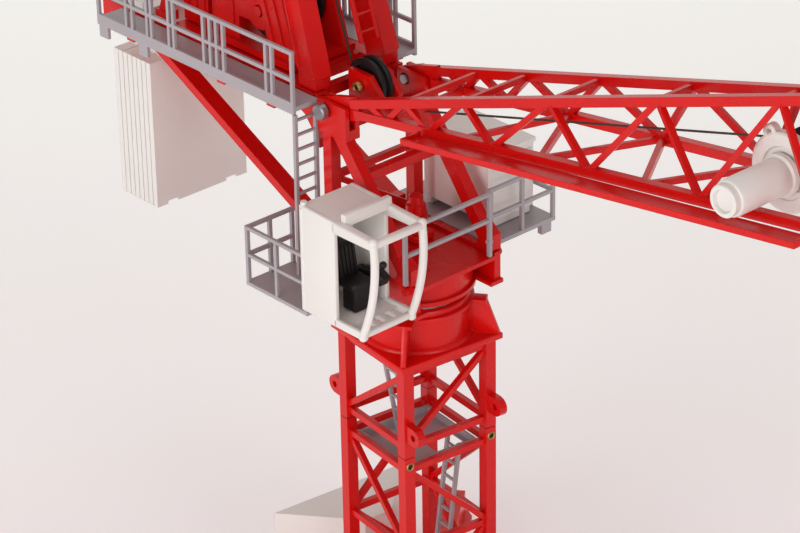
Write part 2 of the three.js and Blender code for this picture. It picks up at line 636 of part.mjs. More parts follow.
// A switch cabinet on two feet with a framed door.
function cabinet(x0, x1, y0, y1, height) {
  const z = 162.4 + GAP;
  const feet = [x0 + 1, x1 - 3].map((x) => box(x, x + 2, y0 + 0.6, y1 - 0.6, z, z + 3.5));
  const body = box(x0, x1, y0, y1, z + 3, z + height);
  const roof = box(x0 - 0.6, x1 + 0.6, y0 - 0.6, y1 + 0.6, z + height - 1, z + height + 0.6);
  const door = box(x1 - 0.1, x1 + 0.5, y0 + 1.4, y1 - 1.4, z + 5, z + height - 3);
  return join([...feet, body, roof, door]);
}

// ---------------------------------------------------------------- jib
// Jib coordinates: u outward along the lower chords from the pivot, y across, w up from the lower chords.
const lowerChord = (u, side) => V(u, side * (JIB_HALF - 0.0105 * u), 0);
const topHalf = (u) => Math.max(0, TOP_CHORD_HALF - 0.0808 * u);
const topRise = (u) => Math.min(JIB_DEPTH, 1.9 + 0.1576 * u);
const upperChord = (u, side) => V(u, side * topHalf(u), topRise(u));
const FOOT_TOP_NODES = [20, 37.6, 64.6, 102.4, 147.5, 195, 241];
const FOOT_LOW_NODES = [28.4, 49.1, 79.2, 122.6, 169.7, 217];

function footLug(side) {
  const y = side * 18.35;
  const outline = [[-3.6, -3.4], [4, -3.6], [15, -2.4], [15, 6.4], [4, 5], [-3.6, 3.4]];
  return plateXZ(outline, y - 0.95, y + 0.95);
}

// The far bearing of the hoist drum stands on a ledge welded to the far lower chord.
function hoistBearing() {
  const { u, w } = HOIST_AXIS;
  const plate = plateXZ([[u - 11, -1], [u + 11, -1], [u + 5, w + 6], [u - 5, w + 6]], 9.2, 11.2);
  const ledge = box(u - 11, u + 11, 9.2, 16.2, -1.4, 0.4);
  return cut(join([plate, ledge]), [eyeY(u, w, 5, 15, 2.3)]);
}

function jibFoot() {
  const parts = [];
  const end = JIB_FOOT_LENGTH;
  for (const side of [-1, 1]) {
    parts.push(footLug(side));
    parts.push(bar(lowerChord(12.6, side), lowerChord(end, side), CHORD));
    parts.push(bar(upperChord(12.6, side), upperChord(end - 0.6, side), CHORD));
    for (let i = 0; i < FOOT_LOW_NODES.length; i++) {
      const low = lowerChord(FOOT_LOW_NODES[i], side);
      for (const top of [FOOT_TOP_NODES[i], FOOT_TOP_NODES[i + 1]])
        parts.push(bar(upperChord(top, side), low, BRACE));
    }
  }
  for (const u of FOOT_TOP_NODES.slice(1, 6)) parts.push(bar(upperChord(u, -1), upperChord(u, 1), 1.9, 1.9));
  parts.push(bar(lowerChord(28.4, -1), lowerChord(28.4, 1), 2.4, 2.4));
  for (let i = 1; i < FOOT_LOW_NODES.length - 2; i++) {
    const middle = (FOOT_LOW_NODES[i] + FOOT_LOW_NODES[i + 1]) / 2;
    if (i > 1) parts.push(bar(lowerChord(FOOT_LOW_NODES[i], 1), lowerChord(middle, -1), 2));
    parts.push(bar(lowerChord(middle, -1), lowerChord(FOOT_LOW_NODES[i + 1], 1), 2));
  }
  parts.push(bar(lowerChord(217, 1), lowerChord(235, -1), 2));
  parts.push(bar(lowerChord(169.7, -1), lowerChord(169.7, 1), 2.2));
  parts.push(bar(lowerChord(end - 2, -1), lowerChord(end - 2, 1), 2.6));
  for (const side of [-1, 1]) parts.push(bar(lowerChord(end - 2, side), V(end - 2, 0, JIB_DEPTH), 2.2));
  return cut(join([...parts, hoistBearing()]), pivotBores(0, 0));
}

// A three-chord section from u0 to u1; scale0 and scale1 size its two ends.
function jibSection(u0, u1, bays, scale0, scale1, tied = true) {
  const half0 = lowerChord(JIB_FOOT_LENGTH, 1).y;
  const scale = (u) => THREE.MathUtils.lerp(scale0, scale1, (u - u0) / (u1 - u0));
  const low = (u, side) => V(u, side * half0 * scale(u), 0);
  const top = (u) => V(u, 0, JIB_DEPTH * scale(u));
  const parts = [-1, 1].map((side) => bar(low(u0, side), low(u1, side), CHORD));
  parts.push(bar(top(u0), top(u1), CHORD));
  const step = (u1 - u0) / bays;
  for (let i = 0; i < bays; i++) {
    const a = u0 + i * step + (i === 0 ? 1.5 : 0);
    const b = u0 + (i + 1) * step - (i === bays - 1 ? 1.5 : 0);
    const middle = (a + b) / 2;
    for (const side of [-1, 1])
      parts.push(bar(low(a, side), top(middle), BRACE), bar(top(middle), low(b, side), BRACE));
    parts.push(bar(low(a, -1), low(a, 1), 2, 2), bar(low(a, -1), low(b, 1), 2, 2));
    if (tied && i === bays - 1) parts.push(bar(low(b, -1), low(b, 1), 2, 2));
  }
  for (const [u, inward] of [[u0, 1.5], [u1, -1.5]])
    for (const side of [-1, 1]) parts.push(bar(low(u + inward, side), top(u + inward), 1.8));
  return join(parts);
}

const TIP_SHEAVE = { u: JIB_LENGTH - 8, w: 12 };
const PENDANT_EYE = { u: JIB_LENGTH - 21, w: 12 };

function jibTip() {
  const start = JIB_FOOT_LENGTH + JIB_MID_LENGTH + GAP;
  const end = JIB_LENGTH;
  const parts = [jibSection(start, end - 24, 3, 1, 0.42, false)];
  const cheek = [[end - 30, -2], [end - 4, 2], [end, 10], [end - 3, 16], [end - 12, 17], [end - 30, 17]];
  for (const side of [-1, 1]) parts.push(plateXZ(cheek, side * 4.6 - 1, side * 4.6 + 1));
  parts.push(box(end - 29, end - 26, -5, 5, 13.5, 17));
  parts.push(eyeY(TIP_SHEAVE.u, TIP_SHEAVE.w, -6.6, 6.6, 1.3, 12));
  return cut(join(parts), [eyeY(PENDANT_EYE.u, PENDANT_EYE.w, -10, 10, 1.5)]);
}

// The jib walkway is a shallow tray beside the near lower chord.
function jibWalkway() {
  const outer = -28.6;
  const inner = -20.1;
  const tray = box(46.3, 218, outer, inner, -1.8, 0.4);
  const hollow = box(47.3, 217, outer + 0.9, inner + 1, -0.8, 2);
  return cut(tray, [hollow]);
}

function hoistGearbox() {
  const { u, w } = HOIST_AXIS;
  const parts = [eyeY(u, w, -5.6, -2.1, 13, 24), eyeY(u - 4.5, w + 12.4, -5.6, -2.6, 2.6, 12)];
  parts.push(box(u - 13, u + 13, -5.2, -2.4, w - 9.4, w - 5));
  parts.push(eyeY(u, w, -2.4, 11.6, 1.9, 12));
  return join(parts);
}

function hoistMotor() {
  const { u, w } = HOIST_AXIS;
  return join([eyeY(u, w, -30, -5.9, 6, 20), eyeY(u, w, -32.4, -29.6, 5.2, 20), eyeY(u, w, -8, -5.9, 7, 20)]);
}

// ---------------------------------------------------------------- ropes, pendants and hook
const jibPoint = (u, w) => {
  const slope = radians(JIB_SLOPE);
  const [c, s] = [Math.cos(slope), Math.sin(slope)];
  return V(PIVOT.x + u * c - w * s, 0, PIVOT.z + u * s + w * c);
};
const MAST = V(MAST_HEAD.x, 0, MAST_HEAD.z);
const PENDANT_TIP = jibPoint(PENDANT_EYE.u, PENDANT_EYE.w);
const FALLS_LENGTH = 190;
const towardsTip = PENDANT_TIP.clone().sub(MAST).normalize();
const BLOCK = MAST.clone().add(towardsTip.clone().multiplyScalar(FALLS_LENGTH));

// A straight round rope of eight sides.
function rope(a, b, radius = 0.45) {
  return rod(a, b, radius, 8);
}

// Rope falls between the mast head and the pendant block, and their two end spacers.
function luffingFalls() {
  const start = MAST.clone().add(towardsTip.clone().multiplyScalar(9.6));
  const end = MAST.clone().add(towardsTip.clone().multiplyScalar(FALLS_LENGTH - 7));
  const parts = [-4.4, 4.4].map((y) => rope(start.clone().setY(y), end.clone().setY(y)));
  for (const p of [start, end]) parts.push(bar(p.clone().setY(-4.9), p.clone().setY(4.9), 1, 1));
  return join(parts);
}

// The hoist rope from the mast head to the jib head.
function headRope() {
  return rope(V(MAST_HEAD.x + 1, 0, MAST_HEAD.z + 8.6), V(TIP.x, 0, TIP.z + 6.2), 0.4);
}

// The floating block with its two pendant bars, which pin onto the jib head.
function pendants() {
  const parts = [];
  const endY = 7.1;
  for (const side of [-1, 1]) {
    const y = side * endY;
    parts.push(rod(BLOCK.clone().setY(y), PENDANT_TIP.clone().setY(y), 0.9, 8));
    parts.push(rod(PENDANT_TIP.clone().setY(y - 0.9), PENDANT_TIP.clone().setY(y + 0.9), 3, 14));
    parts.push(rod(BLOCK.clone().setY(y - 0.9), BLOCK.clone().setY(y + 0.9), 3.6, 14));
  }
  parts.push(rod(BLOCK.clone().setY(-7.2), BLOCK.clone().setY(7.2), 1.8, 10));
  parts.push(rod(PENDANT_TIP.clone().setY(-7.4), PENDANT_TIP.clone().setY(7.4), 1.2, 10));
  return join(parts);
}

// The hoist rope from the drum to the deflection sheave, in jib coordinates.
function jibRope() {
  const { u, w } = HOIST_AXIS;
  return rope(V(14, 0, -4.1), V(u - 1.5, 0, w + 9.3), 0.4);
}

// The hoist rope from the deflection sheave up to the mast head.
function mastRope() {
  const foot = V(DEFLECTION.x - DEFLECTION.radius - 0.2, 0, DEFLECTION.z + 3.5);
  return rope(foot, V(MAST_HEAD.x - 7.2, 0, MAST_HEAD.z - 5), 0.4);
}

const TIP = jibPoint(TIP_SHEAVE.u, TIP_SHEAVE.w);
const HOOK_SHEAVE = V(TIP.x, 0, TIP.z - HOOK_DROP);

// Two falls of rope from the tip sheave down to the hook block.
function hoistFalls() {
  const low = HOOK_SHEAVE.z;
  const parts = [-4.9, 4.9].map((dx) => rope(V(TIP.x + dx, 0, TIP.z - 2), V(TIP.x + dx, 0, low + 2), 0.4));
  parts.push(bar(V(TIP.x - 5.2, 0, low + 8.2), V(TIP.x + 5.2, 0, low + 8.2), 0.8));
  return join(parts);
}

function hookBlock() {
  const { x, z } = HOOK_SHEAVE;
  const parts = [];
  const right = [[x + 4, z - 14], [x + 7.5, z - 3], [x + 5.5, z + 6]];
  const left = [[x - 5.5, z + 6], [x - 7.5, z - 3], [x - 4, z - 14]];
  for (const side of [-1, 1]) {
    const lo = side > 0 ? 2.2 : -3.8;
    parts.push(plateXZ([...right, ...left], lo, lo + 1.6));
  }
  parts.push(box(x - 3.6, x + 3.6, -3, 3, z - 14, z - 9), eyeY(x, z, -4.8, 4.8, 1.2, 12));
  return cut(join(parts), [rod(V(x, 0, z - 20), V(x, 0, z - 8), 1.5, 12)]);
}

// A shank with a collar and a round hook, open on one side.
function hook() {
  const { x, z } = HOOK_SHEAVE;
  const bend = [[0, 0], [0, -3], [3.6, -6], [4.6, -9.6], [1.6, -13], [-2.8, -12.2], [-4.6, -9]];
  const curve = new THREE.CatmullRomCurve3(bend.map(([along, down]) => V(along, 0, down)));
  const section = new THREE.Shape(ring(1.25, 0, 8).map((p) => new THREE.Vector2(p.x, p.y)));
  const bent = new THREE.ExtrudeGeometry(section, { steps: 14, extrudePath: curve, bevelEnabled: false });
  bent.translate(x, 0, z - 17);
  const shank = rod(V(x, 0, z - 18), V(x, 0, z - 7.4), 1.15, 12);
  const nut = rod(V(x, 0, z - 8.7), V(x, 0, z - 6.9), 2, 12);
  const collar = rod(V(x, 0, z - 17.4), V(x, 0, z - 14.4), 2.1, 12);
  return join([bent, shank, nut, collar]);
}

// ---------------------------------------------------------------- assembly
add(tower, "base_cross", baseCross(), RED);
add(tower, "ballast_block_rear", ballastBlock(-1), WHITE);
add(tower, "ballast_block_front", ballastBlock(1), WHITE);
add(tower, "tower_base_section", towerBaseSection(), RED);
add(tower, "tower_top_section", towerTopSection(), RED);
add(tower, "tower_platform", towerPlatform(), GREY);
add(tower, "tower_ladder_lower", ladder(V(6, 2.4, 14), V(6, 11.4, 84), V(1, 0, 0), 7, 6), GREY);
add(tower, "tower_ladder_upper", ladder(V(-6, -2, 86.2), V(-6, -9.4, 128), V(1, 0, 0), 7, 6), GREY);
add(tower, "slewing_support", slewingSupport(), RED);
add(tower, "slewing_ring", slewingRing(), STEEL);

add(crane, "slewing_platform", slewingPlatform(), RED);
add(crane, "slew_motor", slewMotor(), RED);
add(crane, "tower_head", towerHead(), RED);
add(crane, "pivot_pin_near", pivotPin(-1), STEEL);
add(crane, "pivot_pin_far", pivotPin(1), STEEL);
add(crane, "counter_jib", counterJib(), RED);
add(crane, "counter_jib_strut_near", counterJibStrut(-1), RED);
add(crane, "counter_jib_strut_far", counterJibStrut(1), RED);
for (let i = 0; i < SLAB_COUNT; i++) add(crane, `counterweight_slab_${i + 1}`, counterweightSlab(i), WHITE);
add(crane, "walkway_near", walkway(-1, -25.2, -134.4), GREY);
add(crane, "walkway_far", walkway(1, -33, -134.4), GREY);
add(crane, "access_ladder", ladder(V(-26, -26.6, 154), V(-26, -26.2, 215.4), V(0, 1, 0), 9.2, 5.55), GREY);
add(crane, "a_frame", aFrame(), RED);
add(crane, "mast_pin", mastPin(), STEEL);
add(crane, "mast_sheave", sheave(MAST_HEAD.x, MAST_HEAD.z, 0, 8, 3, 1.9), BLACK);
add(crane, "a_frame_ladder", aFrameLadder(), RED);
add(crane, "luffing_winch_frame", luffingWinchFrame(), RED);
add(crane, "luffing_gear_motor", luffingGearMotor(), RED);
add(crane, "luffing_drum", luffingDrum(), BLACK);
add(crane, "machinery_house", machineryHouse(), RED);
add(crane, "sheave_bracket", sheaveBracket(), RED);
add(crane, "deflection_sheave", deflectionSheave(), BLACK);
add(crane, "sheave_bolt", sheaveBolt(), BRASS);
add(crane, "cab_shell", cabShell(), WHITE);
add(crane, "cab_seat", cabSeat(), BLACK);
add(crane, "cab_console", cabConsole(), BLACK);
add(crane, "cab_platform", cabPlatform(), GREY);
add(crane, "front_railing", frontRailing(), GREY);
add(crane, "side_platform", sidePlatform(), GREY);
add(crane, "switch_cabinet", cabinet(-25, 8, 27.5, 49.5, 29), WHITE);
add(crane, "mast_rope", mastRope(), ROPE);
add(crane, "luffing_falls", luffingFalls(), ROPE);
add(crane, "head_rope", headRope(), ROPE);
add(crane, "pendant_bars", pendants(), RED);
add(crane, "hoist_falls", hoistFalls(), ROPE);
add(crane, "hook_block", hookBlock(), RED);
add(crane, "hook_sheave", sheave(HOOK_SHEAVE.x, HOOK_SHEAVE.z, 0, 6.2, 1.8, 1.5), BLACK);
add(crane, "hook", hook(), STEEL);

add(jib, "jib_foot", jibFoot(), RED);
add(jib, "jib_middle", jibSection(JIB_FOOT_LENGTH + GAP, JIB_FOOT_LENGTH + JIB_MID_LENGTH, 3, 1, 1), RED);
add(jib, "jib_tip", jibTip(), RED);
add(jib, "jib_walkway", jibWalkway(), RED);
add(jib, "hoist_gearbox", hoistGearbox(), WHITE);
add(jib, "hoist_motor", hoistMotor(), WHITE);
add(jib, "hoist_drum", ropeDrum(HOIST_AXIS.u, 3.4, HOIST_AXIS.w, 5.1, 11, 8.6, 2.3), BLACK);
add(jib, "tip_sheave", sheave(TIP_SHEAVE.u, TIP_SHEAVE.w, 0, 5.2, 2.2, 1.6), BLACK);
add(jib, "hoist_rope", jibRope(), ROPE);

export default crane;
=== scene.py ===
"""Luffing tower crane scale model: finishes, finer pieces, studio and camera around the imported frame.

Everything is in metres in the row frame: +Z up the tower, +X along the jib, the cab on the -Y side.
"""

import json
import math

import bmesh
import bpy
from mathutils import Matrix, Vector


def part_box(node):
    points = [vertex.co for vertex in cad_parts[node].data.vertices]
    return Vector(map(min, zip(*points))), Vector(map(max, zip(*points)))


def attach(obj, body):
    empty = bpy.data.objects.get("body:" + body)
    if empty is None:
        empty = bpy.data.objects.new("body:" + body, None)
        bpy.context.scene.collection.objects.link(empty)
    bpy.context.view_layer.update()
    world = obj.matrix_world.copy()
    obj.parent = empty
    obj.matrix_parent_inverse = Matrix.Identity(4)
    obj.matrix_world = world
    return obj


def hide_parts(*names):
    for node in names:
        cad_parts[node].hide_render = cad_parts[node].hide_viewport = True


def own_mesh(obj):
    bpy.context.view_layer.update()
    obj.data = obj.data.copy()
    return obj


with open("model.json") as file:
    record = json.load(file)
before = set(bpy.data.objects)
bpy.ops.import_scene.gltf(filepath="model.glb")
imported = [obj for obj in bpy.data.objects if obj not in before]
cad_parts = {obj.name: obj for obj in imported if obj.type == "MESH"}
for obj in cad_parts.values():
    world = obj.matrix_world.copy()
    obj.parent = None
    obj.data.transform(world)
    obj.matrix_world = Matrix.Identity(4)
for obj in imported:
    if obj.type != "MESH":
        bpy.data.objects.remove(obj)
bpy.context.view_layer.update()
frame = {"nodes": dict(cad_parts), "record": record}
MM = 0.001

# ---------------------------------------------------------------- driving dimensions, mm and radians
TOWER_TURN = math.radians(-6.65)
TOWER_HALF = 20.0
LEG_WIDTH = 4.3
JOINT_RIVETS = 90.0
PIVOT = Vector((-21, 0, 216))
JIB_SLOPE = math.radians(8.4)
MAST = Vector((-72, 0, 362))
FALLS_LENGTH = 190.0
HOOK_LOW = 200.0
THREAD_RADIUS = 0.42
PAINT_EDGE = 0.35
CAB_LOW = (-3.9, -49.0, 155.7)
CAB_HIGH = (34.2, -24.6, 195.8)

# ---------------------------------------------------------------- the view, metres and degrees
VIEW_HEADING = 41.83
VIEW_ROLL = -1.0
FOCAL_LENGTH = 140.8
CAMERA_PLACE = (0.7165, -0.6486, 0.6673)
CAMERA_TARGET = (-0.0239, 0.0141, 0.1414)
LIGHT_TARGET = (0.0, 0.0, 0.18)

# ---------------------------------------------------------------- colours, linear
RED = (0.66, 0.004, 0.003)
WHITE = (0.80, 0.765, 0.725)
GREY = (0.40, 0.365, 0.385)
BLACK = (0.012, 0.009, 0.010)
STEEL = (0.36, 0.35, 0.37)
BRASS = (0.50, 0.30, 0.10)
ROPE = (0.055, 0.035, 0.028)
STAGE = (0.92, 0.86, 0.85)


# ---------------------------------------------------------------- materials
def new_material(name):
    material = bpy.data.materials.new(name)
    material.use_nodes = True
    nodes = material.node_tree.nodes
    return material, nodes, material.node_tree.links, nodes["Principled BSDF"]


def noise(nodes, links, scale, detail=3.0, roughness=0.5):
    """Object-space noise; returns its value socket."""
    place = nodes.new("ShaderNodeTexCoord")
    node = nodes.new("ShaderNodeTexNoise")
    node.inputs["Scale"].default_value = scale
    node.inputs["Detail"].default_value = detail
    node.inputs["Roughness"].default_value = roughness
    links.new(place.outputs["Object"], node.inputs["Vector"])
    return node.outputs[0]


def spread(nodes, links, value, low, high):
    """Maps a noise value from its usual 0.3..0.7 to low..high."""
    node = nodes.new("ShaderNodeMapRange")
    node.inputs["From Min"].default_value = 0.3
    node.inputs["From Max"].default_value = 0.7
    node.inputs["To Min"].default_value = low
    node.inputs["To Max"].default_value = high
    links.new(value, node.inputs["Value"])
    return node.outputs["Result"]


def tinted(nodes, links, value, colour, change):
    """A colour that varies a little with the value."""
    ramp = nodes.new("ShaderNodeValToRGB")
    ramp.color_ramp.elements[0].position = 0.3
    ramp.color_ramp.elements[1].position = 0.7
    ramp.color_ramp.elements[0].color = (*[c * (1 - change) for c in colour], 1)
    ramp.color_ramp.elements[1].color = (*[min(1, c * (1 + change)) for c in colour], 1)
    links.new(value, ramp.inputs["Fac"])
    return ramp.outputs["Color"]


def paint(name, colour, roughness, coat, ripple=0.06, metallic=0.0, change=0.05):
    """Sprayed enamel: faint orange peel, uneven gloss, and softly rounded edges."""
    material, nodes, links, shader = new_material(name)
    cloud = noise(nodes, links, 38.0)
    peel = noise(nodes, links, 900.0, 2.0)
    links.new(tinted(nodes, links, cloud, colour, change), shader.inputs["Base Color"])
    gloss = spread(nodes, links, cloud, roughness * 0.85, roughness * 1.2)
    links.new(gloss, shader.inputs["Roughness"])
    shader.inputs["Metallic"].default_value = metallic
    shader.inputs["Specular IOR Level"].default_value = 0.28
    shader.inputs["Coat Weight"].default_value = coat
    shader.inputs["Coat Roughness"].default_value = 0.12
    edge = nodes.new("ShaderNodeBevel")
    edge.samples = 4
    edge.inputs["Radius"].default_value = PAINT_EDGE * MM
    bump = nodes.new("ShaderNodeBump")
    bump.inputs["Strength"].default_value = ripple
    bump.inputs["Distance"].default_value = 0.1 * MM
    links.new(peel, bump.inputs["Height"])
    links.new(edge.outputs["Normal"], bump.inputs["Normal"])
    links.new(bump.outputs["Normal"], shader.inputs["Normal"])
    return material


def thread(name, colour):
    """Twisted thread: fine slanted strands."""
    material, nodes, links, shader = new_material(name)
    place = nodes.new("ShaderNodeTexCoord")
    wave = nodes.new("ShaderNodeTexWave")
    wave.bands_direction = "DIAGONAL"
    wave.inputs["Scale"].default_value = 900.0
    wave.inputs["Distortion"].default_value = 1.0
    links.new(place.outputs["Object"], wave.inputs["Vector"])
    links.new(tinted(nodes, links, wave.outputs[0], colour, 0.5), shader.inputs["Base Color"])
    shader.inputs["Roughness"].default_value = 0.8
    bump = nodes.new("ShaderNodeBump")
    bump.inputs["Strength"].default_value = 0.5
    bump.inputs["Distance"].default_value = 0.15 * MM
    links.new(wave.outputs[0], bump.inputs["Height"])
    links.new(bump.outputs["Normal"], shader.inputs["Normal"])
    return material


MATERIALS = {
    "red_paint": paint("red_enamel", RED, 0.28, 0.08),
    "white_paint": paint("white_enamel", WHITE, 0.38, 0.25, change=0.02),
    "grey_paint": paint("grey_enamel", GREY, 0.42, 0.15, change=0.04),
    "black_plastic": paint("black_moulding", BLACK, 0.45, 0.0, ripple=0.15, change=0.25),
    "steel": paint("turned_steel", STEEL, 0.34, 0.0, metallic=0.85),
    "brass": paint("turned_brass", BRASS, 0.30, 0.0, metallic=0.9),
    "rope": thread("rope_thread", ROPE),
}

for part in frame["record"]["subparts"]:
    cad = frame["nodes"][part["node"]]
    cad.data.materials.clear()
    cad.data.materials.append(MATERIALS[part["material_slot"]])


# ---------------------------------------------------------------- mesh helpers
def finish_piece(name, bm, body, slot, replaces=(), smooth=40.0):
    """Turns a bmesh into a piece that rides on a body and takes a slot's finish."""
    bmesh.ops.recalc_face_normals(bm, faces=bm.faces)
    mesh = bpy.data.meshes.new(name)
    bm.to_mesh(mesh)
    bm.free()
    piece = bpy.data.objects.new(name, mesh)
    bpy.context.scene.collection.objects.link(piece)
    mesh.materials.append(MATERIALS[slot])
    if smooth:
        mesh.shade_smooth()
        mesh.set_sharp_from_angle(angle=math.radians(smooth))
    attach(piece, body)
    if replaces:
        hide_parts(*replaces)
    return piece


def turned(axis, radius, along, angle):
    """The point at a radius and an angle about an axis, a distance along it."""
    level, upright = radius * math.cos(angle), radius * math.sin(angle)
    if axis == "X":
        return Vector((along, level, upright))
    if axis == "Y":
        return Vector((level, along, upright))
    return Vector((level, upright, along))


def turned_rings(bm, profile, centre, segments, axis):
    """One copy of the profile for each step round the axis."""
    rings = []
    for i in range(segments):
        angle = 2 * math.pi * i / segments
        rings.append([bm.verts.new(turned(axis, r, a, angle) * MM + centre) for r, a in profile])
    return rings


def add_lathe(bm, profile, centre, segments=64, axis="Y"):
    """Turns a closed profile of (radius, along) points, in millimetres, about an axis through centre."""
    rings = turned_rings(bm, profile, centre, segments, axis)
    count = len(profile)
    for i, ring in enumerate(rings):
        after = rings[(i + 1) % segments]
        for k in range(count):
            bm.faces.new((ring[k], ring[(k + 1) % count], after[(k + 1) % count], after[k]))


def add_solid_lathe(bm, profile, centre, segments=48, axis="Y"):
    """As add_lathe, for an open profile whose two ends are closed with flat caps."""
    rings = turned_rings(bm, profile, centre, segments, axis)
    for i, ring in enumerate(rings):
        after = rings[(i + 1) % segments]
        for k in range(len(profile) - 1):
            bm.faces.new((ring[k], ring[k + 1], after[k + 1], after[k]))
    bm.faces.new([ring[0] for ring in rings])
    bm.faces.new([ring[-1] for ring in rings])


def add_box(bm, lo, hi, round_off=0.0, turn=None):
    """A box between two corners in millimetres, turned by a matrix, with rounded edges."""
    spans = list(zip(lo, hi))
    corners = [Vector((x, y, z)) for x in spans[0] for y in spans[1] for z in spans[2]]
    if turn:
        corners = [turn @ corner for corner in corners]
    verts = [bm.verts.new(corner * MM) for corner in corners]
    faces = [(0, 1, 3, 2), (4, 6, 7, 5), (0, 4, 5, 1), (2, 3, 7, 6), (0, 2, 6, 4), (1, 5, 7, 3)]
    made = [bm.faces.new([verts[i] for i in face]) for face in faces]
    bmesh.ops.recalc_face_normals(bm, faces=made)
    if round_off:
        edges = {edge for face in made for edge in face.edges}
        offset = round_off * MM
        bmesh.ops.bevel(bm, geom=list(edges), offset=offset, segments=3, profile=0.5, affect="EDGES")


def add_prism(bm, outline, y0, y1, round_off=0.0):
    """An outline of (x, z) points in millimetres, with thickness along Y."""
    near = [bm.verts.new(Vector((x, y0, z)) * MM) for x, z in outline]
    far = [bm.verts.new(Vector((x, y1, z)) * MM) for x, z in outline]
    made = [bm.faces.new(near), bm.faces.new(far)]
    count = len(outline)
    for k in range(count):
        made.append(bm.faces.new((near[k], near[(k + 1) % count], far[(k + 1) % count], far[k])))
    bmesh.ops.recalc_face_normals(bm, faces=made)
    if round_off:
        edges = [e for e in {edge for face in made for edge in face.edges} if e.calc_face_angle(0) > 0.5]
        bmesh.ops.bevel(bm, geom=edges, offset=round_off * MM, segments=2, profile=0.5, affect="EDGES")


def add_tube(bm, points, radius, sides=16, flat=1.0):
    """A tube through points in millimetres; flat squeezes it across Y."""
    rings = []
    for i, point in enumerate(points):
        before = points[max(0, i - 1)]
        after = points[min(len(points) - 1, i + 1)]
        along = (Vector(after) - Vector(before)).normalized()
        across = Vector((0, 1, 0)) if abs(along.y) < 0.9 else Vector((1, 0, 0))
        side = (across - along * across.dot(along)).normalized()
        up = along.cross(side)
        ring = []
        for k in range(sides):
            angle = 2 * math.pi * k / sides
            offset = side * (math.cos(angle) * radius * flat) + up * (math.sin(angle) * radius)
            ring.append(bm.verts.new((Vector(point) + offset) * MM))
        rings.append(ring)
    for ring, after in zip(rings, rings[1:]):
        for k in range(sides):
            bm.faces.new((ring[k], ring[(k + 1) % sides], after[(k + 1) % sides], after[k]))
    bm.faces.new(rings[0])
    bm.faces.new(rings[-1])


def merge(bm, part):
    """Adds a finished bmesh to another one."""
    scratch = bpy.data.meshes.new("scratch")
    part.to_mesh(scratch)
    part.free()
    bm.from_mesh(scratch)
    bpy.data.meshes.remove(scratch)


def add_ball(bm, centre, radius):
    bmesh.ops.create_uvsphere(
        bm, u_segments=20, v_segments=12, radius=radius * MM, matrix=Matrix.Translation(Vector(centre) * MM)
    )


def corners_mm(node):
    """A CAD node's lowest and highest corners, in millimetres."""
    lo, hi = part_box(node)
    return lo / MM, hi / MM


def centre_of(node):
    lo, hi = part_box(node)
    return (lo + hi) / 2


# ---------------------------------------------------------------- turned rope gear
def rope_sheave(node, body, bore):
    """A pulley with a deep rope groove, a dished web and a raised hub."""
    lo, hi = corners_mm(node)
    radius, half = (hi.z - lo.z) / 2, (hi.y - lo.y) / 2
    lip, web = half * 0.42, half * 0.45
    profile = [
        (bore, -half), (bore + 1.3, -half), (bore + 1.3, -web), (radius - 2.6, -web), (radius - 2.2, -half),
        (radius - 0.25, -half), (radius, -half + 0.25), (radius, -lip - 0.15), (radius - 1.5, -0.35),
        (radius - 1.6, 0), (radius - 1.5, 0.35), (radius, lip + 0.15),
        (radius, half - 0.25), (radius - 0.25, half),
        (radius - 2.2, half), (radius - 2.6, web), (bore + 1.3, web), (bore + 1.3, half), (bore, half),
    ]
    bm = bmesh.new()
    add_lathe(bm, profile, centre_of(node))
    return finish_piece(node + "_turned", bm, body, "black_plastic", [node])


def rope_drum(node, body, bore, turns):
    """A winch drum: two flanges and a barrel wound with rope."""
    lo, hi = corners_mm(node)
    flange, half = (hi.z - lo.z) / 2, (hi.y - lo.y) / 2
    lip = 1.2
    barrel = flange * 0.74
    pitch = (2 * (half - lip)) / turns
    winding = []
    for i in range(turns):
        start = -half + lip + i * pitch
        for k in range(6):
            swing = math.pi * k / 6
            rise = math.sin(swing) * pitch * 0.5
            winding.append((barrel - 0.5 + rise, start + pitch * (0.5 - 0.5 * math.cos(swing))))
    profile = [
        (bore, -half), (flange - 0.25, -half), (flange, -half + 0.25),
        (flange, lip - half - 0.25), (flange - 0.25, lip - half),
        *winding,
        (flange - 0.25, half - lip), (flange, half - lip + 0.25),
        (flange, half - 0.25), (flange - 0.25, half), (bore, half),
    ]
    bm = bmesh.new()
    add_lathe(bm, profile, centre_of(node))
    return finish_piece(node + "_wound", bm, body, "black_plastic", [node])


rope_sheave("mast_sheave", "mast_sheave", 1.9)
rope_sheave("deflection_sheave", "deflection_sheave", 1.5)
rope_sheave("tip_sheave", "tip_sheave", 1.6)
rope_sheave("hook_sheave", "hook_sheave", 1.5)
rope_drum("luffing_drum", "luffing_drum", 2.3, 18)
rope_drum("hoist_drum", "hoist_drum", 2.3, 9)


# ---------------------------------------------------------------- pins and rivets
def headed_pin(node, head):
    """A round pin along Y that fills its CAD box, with a chamfered head at each wide end."""
    lo, hi = corners_mm(node)
    radius = (hi.z - lo.z) / 2
    y0, y1 = lo.y, hi.y
    middle = centre_of(node)
    centre = Vector((middle.x, 0, middle.z))
    shank = radius * 0.62
    chamfer, head_length = 0.4, 2.6
    profile = []
    if "low" in head:
        inner = y0 + head_length
        profile += [(radius - chamfer, y0), (radius, y0 + chamfer), (radius, inner), (shank, inner)]
    else:
        profile += [(shank - 0.2, y0), (shank, y0 + 0.2)]
    if "high" in head:
        inner = y1 - head_length
        profile += [(shank, inner), (radius, inner), (radius, y1 - chamfer), (radius - chamfer, y1)]
    else:
        profile += [(shank, y1 - 0.2), (shank - 0.2, y1)]
    bm = bmesh.new()
    add_solid_lathe(bm, profile, centre)
    return finish_piece(node + "_turned", bm, "upperworks", "steel", [node])


